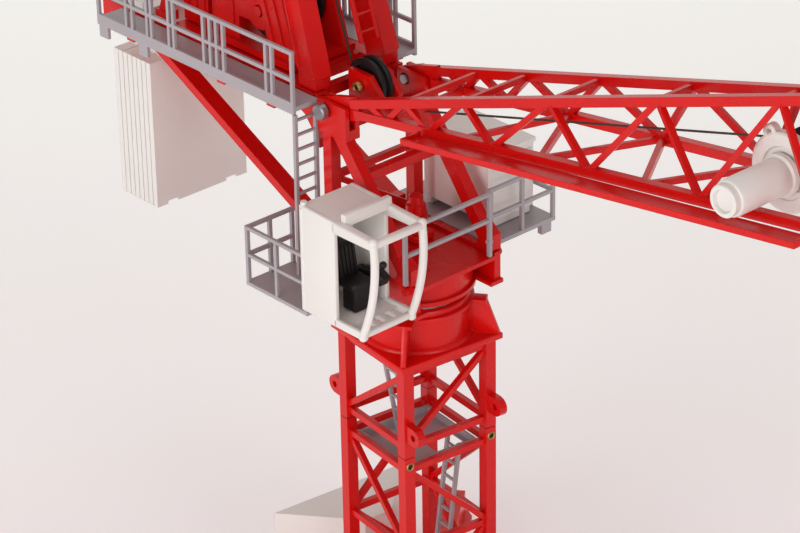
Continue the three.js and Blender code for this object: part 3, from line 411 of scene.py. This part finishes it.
headed_pin("pivot_pin_near", ["low"])
headed_pin("pivot_pin_far", ["high"])
headed_pin("mast_pin", ["low", "high"])


def eyelet_bolt():
    """The brass bolt of the deflection sheave, with a recessed head on each side and a black disc of
    painted shade deep in each recess.
    """
    lo, hi = corners_mm("sheave_bolt")
    radius = (hi.z - lo.z) / 2
    profile = []
    for side in (-1, 1):
        end = hi.y if side > 0 else lo.y
        inner = end - side * 1.9
        head = [
            (0.9, end - side * 0.7), (1.2, end - side * 0.1), (radius - 0.3, end),
            (radius, end - side * 0.4), (radius, inner), (1.2, inner),
        ]
        profile = profile + (head if side < 0 else head[::-1])
    middle = centre_of("sheave_bolt")
    bm = bmesh.new()
    axis = Vector((middle.x, 0, middle.z))
    add_solid_lathe(bm, profile, axis)
    # A black disc deep in each recessed head is painted shade, where the socket's shadow falls.
    socket_shades = bmesh.new()
    for end, side in ((lo.y, -1), (hi.y, 1)):
        add_solid_lathe(socket_shades, [(1.0, end - side * 0.75), (1.0, end - side * 0.5)], axis, 24)
    finish_piece("sheave_bolt_socket_shades", socket_shades, "upperworks", "black_plastic")
    return finish_piece("sheave_bolt_turned", bm, "upperworks", "brass", ["sheave_bolt"])


eyelet_bolt()


def rivets():
    """Brass eyelets through the tower legs just under the joint of the two sections, each with a black disc
    of painted shade in its bore.
    """
    turn = Matrix.Rotation(TOWER_TURN, 4, "Z")
    bm = bmesh.new()
    hole_shades = bmesh.new()
    leg = TOWER_HALF - LEG_WIDTH / 2
    for y in (-leg, leg):
        for side in (-1, 1):
            face = side * TOWER_HALF
            eye = bmesh.new()
            profile = [(0.95, face - side * 0.6), (1.0, face + side * 0.25), (1.35, face + side * 0.45),
                       (1.65, face + side * 0.1), (1.65, face - side * 0.6)]
            add_lathe(eye, profile, Vector((0, 0, 0)), 32, "X")
            # A black disc just inside each eyelet is painted shade: it darkens the bore where the hole's
            # shadow falls.
            hole_shade = bmesh.new()
            shade_disc = [(1.1, face - side * 0.3), (1.1, face + side * 0.12)]
            add_solid_lathe(hole_shade, shade_disc, Vector((0, 0, 0)), 24, "X")
            place = turn @ Matrix.Translation(Vector((0, y, JOINT_RIVETS)) * MM)
            for part, whole in ((eye, bm), (hole_shade, hole_shades)):
                bmesh.ops.transform(part, matrix=place, verts=part.verts)
                merge(whole, part)
    finish_piece("joint_rivet_hole_shades", hole_shades, "tower", "black_plastic")
    return finish_piece("joint_rivets", bm, "tower", "brass")


rivets()


# ---------------------------------------------------------------- hoist winch on the jib
def hoist_motor():
    """The motor of the hoist winch: a smooth barrel with a recessed end ring."""
    lo, hi = corners_mm("hoist_motor")
    middle = centre_of("hoist_motor")
    y0, y1 = lo.y, hi.y
    big = (hi.z - lo.z) / 2
    profile = [
        (3.4, y0 + 1.2), (3.7, y0), (4.8, y0), (5.2, y0 + 0.4), (5.2, y0 + 2.6), (5.7, y0 + 2.8),
        (6.0, y0 + 3.4), (6.0, y1 - 2.3), (6.3, y1 - 2.1), (big, y1 - 1.8), (big, y1),
    ]
    bm = bmesh.new()
    add_solid_lathe(bm, profile, Vector((middle.x, 0, middle.z)), 72)
    return finish_piece("hoist_motor_turned", bm, "jib", "white_paint", ["hoist_motor"])


def gearbox():
    """The gear case: a round cover with a rim and a boss, a lifting lug and a foot."""
    drum = centre_of("hoist_drum")
    lo, hi = corners_mm("hoist_gearbox")
    near = lo.y
    bm = bmesh.new()
    profile = [
        (8.2, near + 0.9), (8.6, near + 0.1), (12.4, near), (13.0, near + 0.6),
        (13.0, near + 3.1), (8.0, near + 3.1),
    ]
    axis = Vector((drum.x, 0, drum.z))
    add_solid_lathe(bm, profile, axis, 72)
    add_solid_lathe(bm, [(1.9, near + 3.0), (1.9, hi.y)], axis, 32)
    u = Vector((math.cos(JIB_SLOPE), 0, math.sin(JIB_SLOPE)))
    w = Vector((-math.sin(JIB_SLOPE), 0, math.cos(JIB_SLOPE)))
    lug = axis + (u * -4.5 + w * 12.4) * MM
    eye = [(1.1, near), (2.3, near), (2.6, near + 0.3), (2.6, near + 2.7), (1.1, near + 2.7)]
    add_lathe(bm, eye, lug, 32)
    level = Matrix.Translation(axis / MM) @ Matrix.Rotation(-JIB_SLOPE, 4, "Y")
    add_box(bm, (-13, near + 0.4, -9.4), (13, near + 3.1, -5), 0.3, level)
    return finish_piece("hoist_gearbox_case", bm, "jib", "white_paint", ["hoist_gearbox"])


hoist_motor()
gearbox()


# ---------------------------------------------------------------- slewing gear
def slew_motor():
    lo, hi = corners_mm("slew_motor")
    middle = centre_of("slew_motor")
    base = lo.z
    bm = bmesh.new()
    upright = Vector((middle.x, middle.y, 0))
    profile = [
        (3.6, base + 2), (3.6, hi.z - 3.6), (3.2, hi.z - 3.2),
        (2.6, hi.z - 3.0), (2.6, hi.z - 0.4), (2.2, hi.z),
    ]
    add_solid_lathe(bm, profile, upright, 48, "Z")
    for level in (5.5, 7.5, 9.5):
        rim = base + level
        fin = [(3.4, rim), (4.0, rim + 0.2), (4.0, rim + 0.7), (3.4, rim + 0.9)]
        add_lathe(bm, fin, upright, 48, "Z")
    add_box(bm, (lo.x, lo.y, lo.z), (hi.x, hi.y, lo.z + 2.7), 0.4)
    return finish_piece("slew_motor_finned", bm, "upperworks", "red_paint", ["slew_motor"])


def slewing_support():
    """The fixed support: a flanged drum on a square foot, with a sloping gusset to each corner."""
    lo, hi = corners_mm("slewing_support")
    base, top = lo.z, hi.z
    plate = base + 2.3
    flange = top - 2.1
    half = 21.85
    turn = Matrix.Rotation(TOWER_TURN, 4, "Z")
    bm = bmesh.new()
    add_box(bm, (-half, -half, base), (half, half, plate), 0.35, turn)
    weld = [(20.4, plate - 0.4), (20.4, plate + 0.4), (19.7, plate + 1.2), (19.0, plate + 1.5)]
    rim = [
        (19.0, flange - 1.6), (20.4, flange - 1.5), (20.6, flange - 1.3),
        (20.6, flange - 0.2), (20.4, flange), (19.0, flange + 0.1),
    ]
    lip = [(19.0, top - 0.2), (18.8, top)]
    add_solid_lathe(bm, weld + rim + lip, Vector((0, 0, 0)), 96, "Z")
    for k in range(4):
        corner = turn @ Matrix.Rotation(math.radians(45 + 90 * k), 4, "Z")
        fin = bmesh.new()
        low, high = plate - 0.2, flange - 0.2
        slope = [(17, low), (29.7, low), (29.7, plate + 0.6), (25.1, high), (17, high)]
        add_prism(fin, slope, -0.9, 0.9, 0.2)
        add_box(fin, (17, -2.6, flange - 1.5), (25.2, 2.6, flange), 0.3)
        bmesh.ops.transform(fin, matrix=corner, verts=fin.verts)
        merge(bm, fin)
    return finish_piece("slewing_support_welded", bm, "tower", "red_paint", ["slewing_support"], 50.0)


slew_motor()
slewing_support()


# ---------------------------------------------------------------- cab
def cab():
    """The cab: a closed rear, an open front between bowed pillars, a roof light and a slotted floor."""
    x0, y0, z0 = CAB_LOW
    x1, y1, z1 = CAB_HIGH
    wall, split, inset = 1.7, x0 + 17.8, 0.12
    front_top = z1 - 1.2
    header = x1 - 3.2
    light = x0 + 20.4
    split_top, light_top = (z1 - 1.2 * (x - x0) / (x1 - x0) for x in (split, light))
    body = bmesh.new()
    panel = [(x0, z0), (split, z0), (split, split_top), (x0, z1)]
    add_prism(body, panel, y0, y0 + wall, 0.35)
    add_prism(body, panel, y1 - wall, y1, 0.35)
    low, high = z0 + 0.3, z1 - 0.3
    back = [(x0 + inset, low), (x0 + wall, low), (x0 + wall, high), (x0 + inset, high)]
    add_prism(body, back, y0 + wall - 0.3, y1 - wall + 0.3)
    behind = x0 + 0.3
    roof = [
        (behind, z1 - wall), (light, light_top - wall),
        (light, light_top - inset), (behind, z1 - inset),
    ]
    add_prism(body, roof, y0 + 0.4, y1 - 0.4)
    # The beam behind the roof light, and the rims on both sides of it.
    add_box(body, (x0 + 18.4, y0 + 2.6, z1 - 1.4), (x0 + 20.8, y1 - 0.8, z1 + 2.2), 0.4)
    for near, far in ((y0, y0 + 3.4), (y1 - 2.6, y1)):
        rim = [
            (split - 1, split_top - 4.2), (header + 2, front_top - 3.2),
            (header + 2, front_top), (split - 1, split_top),
        ]
        add_prism(body, rim, near, far, 0.5)
    add_box(body, (header, y0 + 0.5, front_top - 2.7), (x1 - 0.7, y1 - 0.5, front_top - 0.05), 0.7)
    # Floor: a rear plate, a front sill and bars between the slots.
    slot_back, slot_front, floor_end = x1 - 14.4, x1 - 9.4, x1 - 7.4
    add_box(body, (x0 + 0.3, y0 + 0.3, z0 + inset), (slot_back, y1 - 0.3, z0 + wall), 0.05)
    add_box(body, (slot_front, y0 + 0.3, z0 + inset), (floor_end - 0.4, y1 - 0.3, z0 + wall), 0.05)
    slots = [y0 + 8.1 + i * 4.6 + side * 0.9 for i in range(4) for side in (-1, 1)]
    edges = [y0 + 0.3] + slots + [y1 - 0.3]
    for start, end in zip(edges[::2], edges[1::2]):
        low_end = (slot_back - 0.5, start, z0 + 0.15)
        high_end = (slot_front + 0.5, end, z0 + wall - 0.03)
        add_box(body, low_end, high_end, 0.15)
    # Sills under the side windows and across the front.
    for near, far in ((y0, y0 + 1.9), (y1 - 1.9, y1)):
        ledge = z0 + 2.9
        sill = [(split - 1, z0), (floor_end - 0.6, z0), (floor_end + 0.4, ledge), (split - 1, ledge)]
        add_prism(body, sill, near, far, 0.4)
    add_box(body, (floor_end - 2.2, y0 + 0.4, z0 + 0.02), (floor_end + 0.2, y1 - 0.4, z0 + 2.2), 0.6)
    # Bowed front pillars with a small knob at each end.
    foot = Vector((x1 - 8.2, z0 + 0.9))
    belly = Vector((x1 + 0.4, z0 + 20))
    head = Vector((x1 - 2.0, front_top - 1.3))
    for y in (y0 + 1.3, y1 - 1.3):
        bow = []
        for i in range(17):
            t = i / 16
            p = foot * (1 - t) ** 2 + belly * 2 * t * (1 - t) + head * t * t
            bow.append((p.x, y, p.y))
        add_tube(body, bow, 1.4, 18)
        add_ball(body, (foot.x + 0.2, y, z0 + 0.6), 1.6)
        add_ball(body, (head.x, y, front_top - 0.6), 1.6)
    add_tube(body, [(x0 + 1.2, y0 + 1.3, z1 - 2), (x0 + 1.2, y0 + 1.3, z1 + 1.2)], 1.1, 18)
    add_tube(body, [(x0 + 1.2, y0 + 0.6, z0 + 1), (x0 + 1.2, y0 + 0.6, z1 - 1)], 0.9, 18)
    return finish_piece("cab_shell_moulded", body, "upperworks", "white_paint", ["cab_shell"], 45.0)


def seat():
    """A high-backed seat with fluted upholstery, moulded in one with its plinth."""
    lo, hi = corners_mm("cab_seat")
    y = (lo.y + hi.y) / 2
    bm = bmesh.new()
    add_box(bm, (7.4, y - 3.6, lo.z), (14, y + 3.6, 166.6), 0.6)
    add_box(bm, (5.4, y - 4.7, 165.8), (14.8, y + 4.7, 169), 1.2)
    lean = Matrix.Translation(Vector((6.2, y, 167))) @ Matrix.Rotation(math.radians(-10), 4, "Y")
    add_box(bm, (-1.5, -4.3, 0), (1.1, 4.3, 13.6), 1.0, lean)
    for k in range(5):
        across = -3.3 + k * 1.65
        add_box(bm, (0.6, across - 0.62, 1.5), (1.75, across + 0.62, 12.6), 0.5, lean)
    add_box(bm, (-1.2, -2.6, 13), (1.3, 2.6, 17), 0.9, lean)
    return finish_piece("cab_seat_moulded", bm, "upperworks", "black_plastic", ["cab_seat"], 45.0)


def console():
    """The armrest with its control stick, beside the seat."""
    lo, hi = corners_mm("cab_console")
    y = (lo.y + hi.y) / 2
    bm = bmesh.new()
    add_prism(bm, [(3, 165), (16.6, 165.6), (18.6, 169), (15.4, 170.6), (3, 168.6)], lo.y, hi.y, 0.7)
    add_box(bm, (3.2, y - 1.6, lo.z), (6.8, y + 1.6, 166), 0.4)
    add_tube(bm, [(15.5, y, 169), (15.9, y, 171.4), (16.3, y, 173.4)], 0.7, 14)
    add_ball(bm, (16.4, y, 173.4), 1.3)
    for k in range(3):
        x, z = 7 + k * 2.2, 168.6 + k * 0.36
        add_box(bm, (x, y - 0.9, z), (x + 1.2, y + 0.9, z + 1.1), 0.25)
    return finish_piece("cab_console_moulded", bm, "upperworks", "black_plastic", ["cab_console"], 45.0)


cab()
seat()
console()


# ---------------------------------------------------------------- ropes
def straight_ropes(name, node, body, spans):
    """Straight threads along the spans, in a piece with a mesh of its own."""
    bm = bmesh.new()
    for start, end in spans:
        steps = max(2, int((Vector(end) - Vector(start)).length / 12))
        points = [tuple(Vector(start).lerp(Vector(end), i / steps)) for i in range(steps + 1)]
        add_tube(bm, points, THREAD_RADIUS, 10)
    piece = finish_piece(name, bm, body, "rope", [node])
    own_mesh(piece)


def jib_point(u, w):
    """A point in millimetres, u along the jib from its pivot and w above the pivot."""
    c, s = math.cos(JIB_SLOPE), math.sin(JIB_SLOPE)
    return PIVOT + Vector((u * c - w * s, 0, u * s + w * c))


PENDANT_TIP = jib_point(539, 12)
TIP = jib_point(552, 12)


def luffing_ropes():
    """Four falls between the mast head and the floating block, and the hoist rope to the jib head."""
    along = (PENDANT_TIP - MAST).normalized()
    start, end = MAST + along * 9.6, MAST + along * (FALLS_LENGTH - 2)
    spans = [(start + Vector((0, y, 0)), end + Vector((0, y, 0))) for y in (-5.2, -3.8, 3.8, 5.2)]
    straight_ropes("luffing_falls_thread", "luffing_falls", "luffing_ropes", spans)
    head = Vector((MAST.x + 1, 0, MAST.z + 8.6))
    tip = Vector((TIP.x, 0, TIP.z + 6.2))
    straight_ropes("head_rope_thread", "head_rope", "luffing_ropes", [(head, tip)])


def hoist_falls():
    """The two falls between the jib head and the hook block."""
    top, low = TIP.z - 2, TIP.z - HOOK_LOW + 2
    spans = [((TIP.x + dx, 0, top), (TIP.x + dx, 0, low)) for dx in (-4.9, 4.9)]
    straight_ropes("hoist_falls_thread", "hoist_falls", "hoist_line", spans)


luffing_ropes()
hoist_falls()


# ---------------------------------------------------------------- studio
def stage():
    """A wide sheet of paper that curves up behind the crane, lit a little from within."""
    bm = bmesh.new()
    floor = 6.0
    sweep = []
    for i in range(13):
        angle = math.pi / 2 * i / 12
        sweep.append((2.2 + 1.2 * math.sin(angle), 1.2 - 1.2 * math.cos(angle)))
    outline = [(-floor, 0.0), *sweep, (3.4, floor)]
    rows = [[bm.verts.new((along, side * floor, up)) for side in (-1, 1)] for along, up in outline]
    for row, after in zip(rows, rows[1:]):
        bm.faces.new((row[0], row[1], after[1], after[0]))
    mesh = bpy.data.meshes.new("backdrop")
    bm.to_mesh(mesh)
    bm.free()
    backdrop = bpy.data.objects.new("backdrop", mesh)
    backdrop.rotation_euler[2] = math.radians(180 - VIEW_HEADING)
    bpy.context.scene.collection.objects.link(backdrop)
    mesh.shade_smooth()
    material, nodes, links, shader = new_material("paper")
    shader.inputs["Base Color"].default_value = (*STAGE, 1)
    place = nodes.new("ShaderNodeTexCoord")
    split = nodes.new("ShaderNodeSeparateXYZ")
    links.new(place.outputs["Object"], split.inputs["Vector"])
    away = nodes.new("ShaderNodeMapRange")
    away.inputs["From Min"].default_value = 0.05
    away.inputs["From Max"].default_value = 0.6
    links.new(split.outputs["X"], away.inputs["Value"])
    glow = nodes.new("ShaderNodeValToRGB")
    glow.color_ramp.elements[0].color = (0.175, 0.16, 0.17, 1)
    glow.color_ramp.elements[1].color = (0.295, 0.325, 0.305, 1)
    links.new(away.outputs["Result"], glow.inputs["Fac"])
    links.new(glow.outputs["Color"], shader.inputs["Emission Color"])
    shader.inputs["Emission Strength"].default_value = 1.0
    grain = noise(nodes, links, 60.0)
    links.new(spread(nodes, links, grain, 0.75, 0.85), shader.inputs["Roughness"])
    mesh.materials.append(material)


def softbox(name, place, aim, width, height, power, colour=(1, 1, 1)):
    light = bpy.data.lights.new(name, "AREA")
    light.shape = "RECTANGLE"
    light.size, light.size_y = width, height
    light.energy = power
    light.color = colour
    lamp = bpy.data.objects.new(name, light)
    bpy.context.scene.collection.objects.link(lamp)
    lamp.location = place
    lamp.rotation_euler = (Vector(aim) - Vector(place)).to_track_quat("-Z", "Y").to_euler()


def lights():
    world = bpy.data.worlds.new("studio")
    bpy.context.scene.world = world
    world.use_nodes = True
    background = world.node_tree.nodes["Background"]
    background.inputs["Color"].default_value = (1.0, 0.965, 0.955, 1)
    background.inputs["Strength"].default_value = 0.36
    aim = LIGHT_TARGET
    softbox("key", (0.3, -1.8, 0.55), aim, 1.3, 1.0, 17)
    softbox("front", (1.9, -0.3, 0.65), aim, 0.9, 0.9, 8)
    softbox("top", (-0.2, 0.3, 2.0), aim, 1.6, 1.6, 4)


def camera():
    """The camera stands at the angle of the original view, with a slight roll."""
    lens = bpy.data.cameras.new("camera")
    lens.lens = FOCAL_LENGTH
    lens.sensor_width = 36.0
    eye = bpy.data.objects.new("camera", lens)
    bpy.context.scene.collection.objects.link(eye)
    place, target = Vector(CAMERA_PLACE), Vector(CAMERA_TARGET)
    roll = math.radians(VIEW_ROLL)
    back = (place - target).normalized()
    right = Vector((0, 0, 1)).cross(back).normalized()
    up = back.cross(right)
    right, up = right * math.cos(roll) + up * math.sin(roll), up * math.cos(roll) - right * math.sin(roll)
    turn = Matrix((right, up, back)).transposed().to_4x4()
    eye.matrix_world = Matrix.Translation(place) @ turn
    lens.clip_start = 0.01
    bpy.context.scene.camera = eye
    bpy.context.scene.view_settings.view_transform = "Standard"


stage()
lights()
camera()
